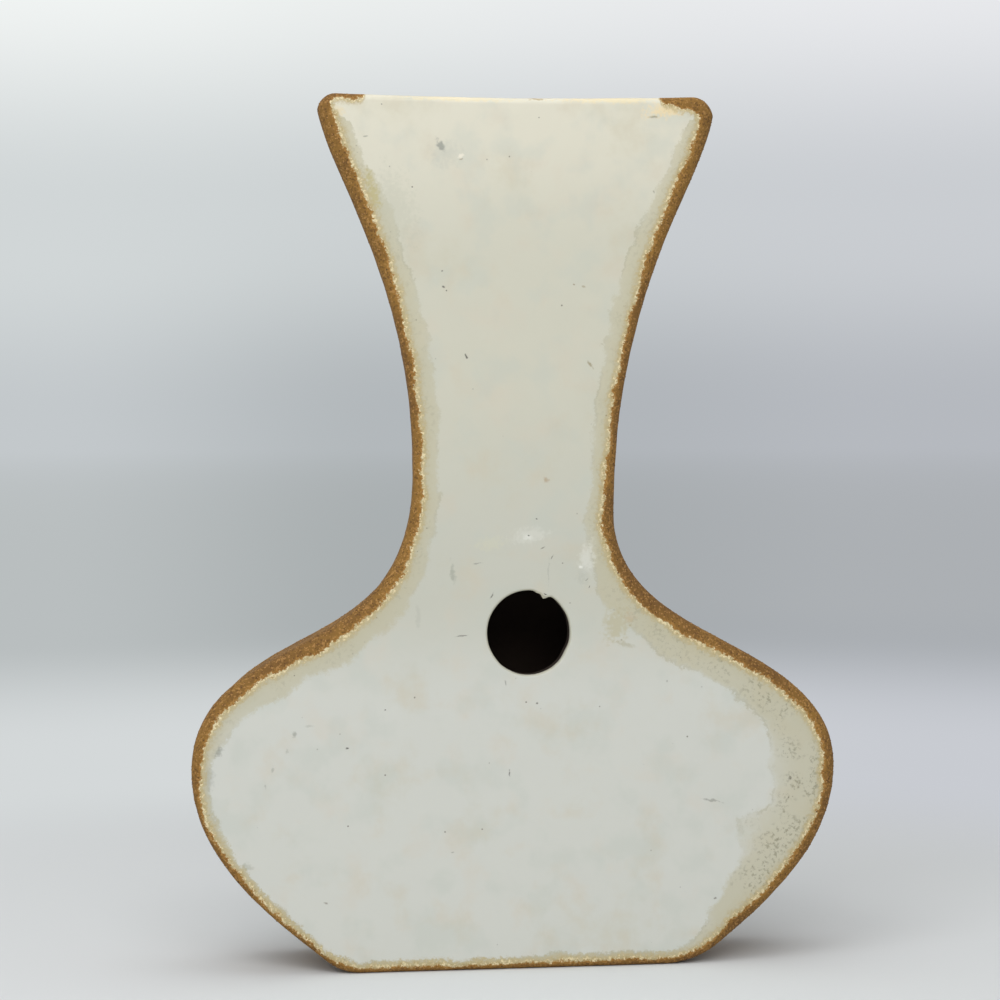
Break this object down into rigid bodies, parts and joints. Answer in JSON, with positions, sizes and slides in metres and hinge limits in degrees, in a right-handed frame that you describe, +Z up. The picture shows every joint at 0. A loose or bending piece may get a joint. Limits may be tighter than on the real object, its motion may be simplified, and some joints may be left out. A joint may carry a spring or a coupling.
{
  "type": "wall pocket vase",
  "caption": "Slab-built stoneware vase shaped like a flat flask with a flared open mouth; stands on a narrow flat base or hangs on a wall by a round hole in its flat glazed back.",
  "frame": {"origin": "under the middle of the outer box, on the surface the vase stands on", "axes": "+Z up; -Y out of the flat back that lies against the wall and carries the hanging hole; +Y out of the bowed front; +X to the right as seen from the back"},
  "size_m": [0.2276, 0.052, 0.305],
  "materials": {
    "back_glaze": "cream semi-matt glaze over grogged stoneware, raw brown at the rounded edge",
    "front_glaze": "cream semi-matt glaze over grogged stoneware, raw brown at the rounded edge",
    "wall_clay": "unglazed brown grogged stoneware",
    "floor_clay": "unglazed brown grogged stoneware, worn smooth underneath",
    "seam_clay": "unglazed thumb-pressed brown stoneware"
  },
  "bodies": {
    "root": {"back_slab": "back_glaze", "front_slab": "front_glaze", "left_wall": "wall_clay", "right_wall": "wall_clay", "base_slab": "floor_clay", "back_left_coil": "seam_clay", "back_right_coil": "seam_clay", "base_back_coil": "seam_clay", "base_left_coil": "seam_clay", "base_right_coil": "seam_clay"}
  },
  "joints": []
}
